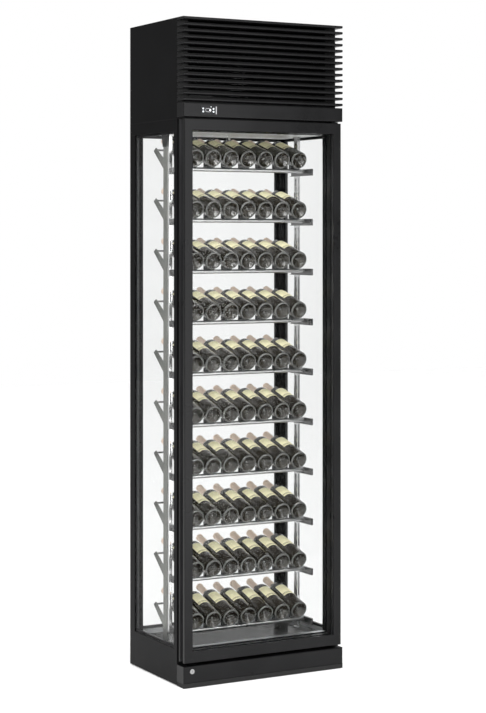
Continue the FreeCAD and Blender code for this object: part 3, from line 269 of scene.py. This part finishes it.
def turned(mesh, profile, place, segments=40, start=0.0, sweep=2 * math.pi, ink_and_highlight_bands=()):
    """Adds a shape turned about the Z axis: profile points are (radius, height).

    The bands of the profile listed in the last argument get the second material: printed rules on a label,
    painted highlight on a bottle's heel and nub.
    """
    whole = sweep > 2 * math.pi - 1e-6
    count = segments if whole else segments + 1
    rings = []
    for radius, height in profile:
        if radius < 1e-6:
            rings.append([mesh.verts.new(place @ Vector((0, 0, height)))] * count)
            continue
        angles = [start + sweep * i / segments for i in range(count)]
        points = [Vector((radius * math.cos(angle), radius * math.sin(angle), height)) for angle in angles]
        rings.append([mesh.verts.new(place @ point) for point in points])
    for level, (low, high) in enumerate(zip(rings, rings[1:])):
        for i in range(segments):
            j = (i + 1) % count
            corners = list(dict.fromkeys((low[i], low[j], high[j], high[i])))
            if len(corners) > 2:
                face = mesh.faces.new(corners)
                face.material_index = 1 if level in ink_and_highlight_bands else 0
    return rings


def bottle_places():
    """The place of each bottle: its base on the origin, its neck along +Z before tilting."""
    low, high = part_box("wine_bottles")
    inside = BOTTLE_RADIUS - HEEL_RADIUS
    y = low.y - (HEEL_RADIUS * math.cos(BOTTLE_TILT) - inside * math.sin(BOTTLE_TILT) - HEEL_RADIUS)
    z = low.z - (HEEL_RADIUS * math.sin(BOTTLE_TILT) - inside * math.cos(BOTTLE_TILT) - HEEL_RADIUS)
    top = high.z - BOTTLE_LENGTH * math.sin(BOTTLE_TILT) - LIP_RADIUS * math.cos(BOTTLE_TILT)
    tilt = Matrix.Rotation(BOTTLE_TILT - math.pi / 2, 4, "X")
    for row in range(BOTTLE_ROWS):
        for column in range(BOTTLE_COLUMNS):
            x = low.x + BOTTLE_RADIUS + (high.x - low.x - 2 * BOTTLE_RADIUS) * column / (BOTTLE_COLUMNS - 1)
            level = z + (top - z) * row / (BOTTLE_ROWS - 1)
            yield Matrix.Translation((x, y, level)) @ tilt


def arc(centre, radius, start, end, steps):
    """Points along an arc, with its angles in degrees."""
    return [(centre[0] + radius * math.cos(math.radians(start + (end - start) * i / steps)),
             centre[1] + radius * math.sin(math.radians(start + (end - start) * i / steps)))
            for i in range(steps + 1)]


def bottle_profile():
    """A claret bottle, drawn in millimetres: punt with a nub, rounded heel, high shoulders, neck and lip."""
    shape = [(0, 12.5), (2.5, 13), (5, 15.5), (8, 17), (13, 15), (19, 10.5), (25, 5.5), (29, 2), (31, 0.5)]
    shape += arc((32.3, 5), 5, -90, 0, 6)
    shape += [(37.3, 60), (37.3, 130), (37.3, 186)]
    shape += arc((11.3, 190), 26, 6, 52, 7)
    shape += arc((43.4, 231.5), 29.4, 212, 184, 5)
    shape += [(14.0, 232), (13.9, 260), (13.9, 288)]
    shape += [(15.0, 288.6), (15.0, 294), (14.2, 294.6), (14.2, 299.2), (13.4, 300), (0, 300)]
    return [(r * MM, h * MM) for r, h in shape]


def build_bottles():
    """The bottles in place of their CAD solids, with a label and a capsule on each."""
    glass, labels, capsules = bmesh.new(), bmesh.new(), bmesh.new()
    profile = bottle_profile()
    outer, inner = 37.65 * MM, 37.35 * MM
    label = [(outer, height * MM) for height in LABEL_STATIONS]
    label += [(inner, LABEL_STATIONS[-1] * MM), (inner, LABEL_STATIONS[0] * MM)]
    foil = [(0, 232), (14.3, 232), (14.3, 287.6), (15.4, 288.2), (15.4, 298.9), (14.6, 300.3), (0, 300.3)]
    for place in bottle_places():
        turned(glass, profile, place, ink_and_highlight_bands=HEEL_HIGHLIGHT_BANDS)
        rings = turned(labels, label, place, LABEL_STEPS, LABEL_TURN, LABEL_SWEEP, ink_and_highlight_bands=RULED_BANDS)
        for i in range(LABEL_STEPS):
            labels.faces.new((rings[-1][i], rings[-1][i + 1], rings[0][i + 1], rings[0][i]))
        for end in (0, -1):
            labels.faces.new([ring[end] for ring in rings])
        turned(capsules, [(r * MM, h * MM) for r, h in foil], place, 32)
    bottles = finished("bottle_glass_row", glass, [bottle_glass, heel_painted_highlight], "cabinet")
    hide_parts("wine_bottles")
    finished("bottle_labels", labels, [label_paper, label_ink], "cabinet")
    finished("bottle_capsules", capsules, [capsule_foil], "cabinet")


def bar(mesh, low, high):
    """Adds a closed bar between two corners."""
    made = bmesh.ops.create_cube(mesh, size=1)["verts"]
    middle, span = (low + high) / 2, high - low
    bmesh.ops.scale(mesh, vec=span, verts=made)
    bmesh.ops.translate(mesh, vec=middle, verts=made)


def frame_ring(mesh, middle, width, height, radius, line, depth):
    """Adds a closed outline with round corners, facing the front."""
    loops = []
    for inset, y in ((0, 0), (0, depth), (line, depth), (line, 0)):
        loop = []
        for corner, (side, up) in enumerate(((1, 1), (-1, 1), (-1, -1), (1, -1))):
            for step in range(5):
                turn = math.radians(90 * corner + 22.5 * step)
                loop.append(mesh.verts.new(middle + Vector((
                    side * (width / 2 - radius) + (radius - inset) * math.cos(turn), y,
                    up * (height / 2 - radius) + (radius - inset) * math.sin(turn)))))
        loops.append(loop)
    for one, two in zip(loops, loops[1:] + loops[:1]):
        for i in range(len(one)):
            j = (i + 1) % len(one)
            mesh.faces.new((one[i], one[j], two[j], two[i]))


def build_display():
    """The marks on the controller: a lit lamp in a round-ended outline, a small lamp and an end bar."""
    low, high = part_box("controller_display")
    middle = Vector(((low.x + high.x) / 2, low.y - 0.25 * MM, (low.z + high.z) / 2))
    depth = 0.5 * MM
    outline = bmesh.new()
    frame_ring(outline, middle, 26 * MM, 15 * MM, 6 * MM, 1.7 * MM, depth)
    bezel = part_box("controller_module")
    bar(outline, Vector((bezel[1].x - 9 * MM, bezel[0].y - 0.2 * MM, middle.z - 15.5 * MM)),
        Vector((bezel[1].x - 5 * MM, bezel[0].y + 0.2 * MM, middle.z + 15.5 * MM)))
    finished("display_outline", outline, [mark_light], "cabinet")
    lamps = bmesh.new()
    facing = Matrix.Rotation(math.pi / 2, 4, "X")
    for x, z, radius, height in ((8.4, 0, 3.2, 0.7), (12.0, 13.8, 1.3, 0.8)):
        place = Matrix.Translation(middle + Vector((x * MM, depth, z * MM))) @ facing
        turned(lamps, [(0, height * MM), (radius * MM, height * MM), (radius * MM, 0), (0, 0)], place, 24)
    finished("display_lamps", lamps, [segment_light], "cabinet")


build_bottles()
build_display()


# ---------------------------------------------------------------- stage

def build_floor():
    """A plain pale floor with a little light of its own, so that it meets the white behind it."""
    mesh = bmesh.new()
    bmesh.ops.create_grid(mesh, x_segments=1, y_segments=1, size=14)
    data = bpy.data.meshes.new("studio_floor")
    mesh.to_mesh(data)
    mesh.free()
    floor = bpy.data.objects.new("studio_floor", data)
    scene.collection.objects.link(floor)
    data.materials.append(surface("studio_floor", (0.93, 0.93, 0.93), 0.6, vary=0.005, bump=0.0,
                                  specular=0.1, Emission_Color=(1, 1, 1, 1), Emission_Strength=0.14))


def area_light(name, place, target, width, height, power):
    data = bpy.data.lights.new(name, "AREA")
    data.shape = "RECTANGLE"
    data.size, data.size_y = width, height
    data.energy = power
    lamp = bpy.data.objects.new(name, data)
    scene.collection.objects.link(lamp)
    lamp.location = place
    lamp.rotation_euler = (Vector(target) - Vector(place)).to_track_quat("-Z", "Y").to_euler()
    lamp.visible_camera = False
    return lamp


def build_world():
    """Plain white all round: full where it is seen and where it lights, dimmer where it mirrors."""
    world = bpy.data.worlds.new("studio")
    scene.world = world
    world.use_nodes = True
    tree = world.node_tree
    tree.nodes.clear()
    output = tree.nodes.new("ShaderNodeOutputWorld")
    ray = tree.nodes.new("ShaderNodeLightPath")
    source = None
    for outlet, strength in ((None, 1.0), ("Is Glossy Ray", 0.3), ("Is Transmission Ray", 1.0),
                             ("Is Diffuse Ray", 1.0)):
        light = tree.nodes.new("ShaderNodeBackground")
        light.inputs["Strength"].default_value = strength
        light.inputs["Color"].default_value = (1, 1, 1, 1)
        if outlet is None:
            source = light.outputs["Background"]
            continue
        mix = tree.nodes.new("ShaderNodeMixShader")
        tree.links.new(ray.outputs[outlet], mix.inputs["Fac"])
        tree.links.new(source, mix.inputs[1])
        tree.links.new(light.outputs["Background"], mix.inputs[2])
        source = mix.outputs["Shader"]
    tree.links.new(source, output.inputs["Surface"])


def build_camera():
    """The camera at the photograph's angle, level, so that upright edges stay upright."""
    data = bpy.data.cameras.new("camera")
    data.sensor_width = 36
    data.lens = 92.98
    data.shift_y = -0.1686
    camera = bpy.data.objects.new("camera", data)
    scene.collection.objects.link(camera)
    camera.location = (-3.7334, -6.8249, 1.8158)
    camera.rotation_euler = (math.radians(90), 0, -math.atan2(0.4833, 0.8755))
    scene.camera = camera


build_floor()
build_world()
area_light("key", (-3.2, -4.2, 3.2), (0, 0, 1.3), 2.4, 2.4, 90)
area_light("overhead", (-1.6, -3.4, 4.8), (0, 0, 1.3), 3.4, 1.6, 170)
area_light("sheen", (0.85, -3.4, 1.5), (-0.1, 0, 1.5), 1.3, 3.6, 50)
build_camera()
scene.view_settings.view_transform = "Standard"
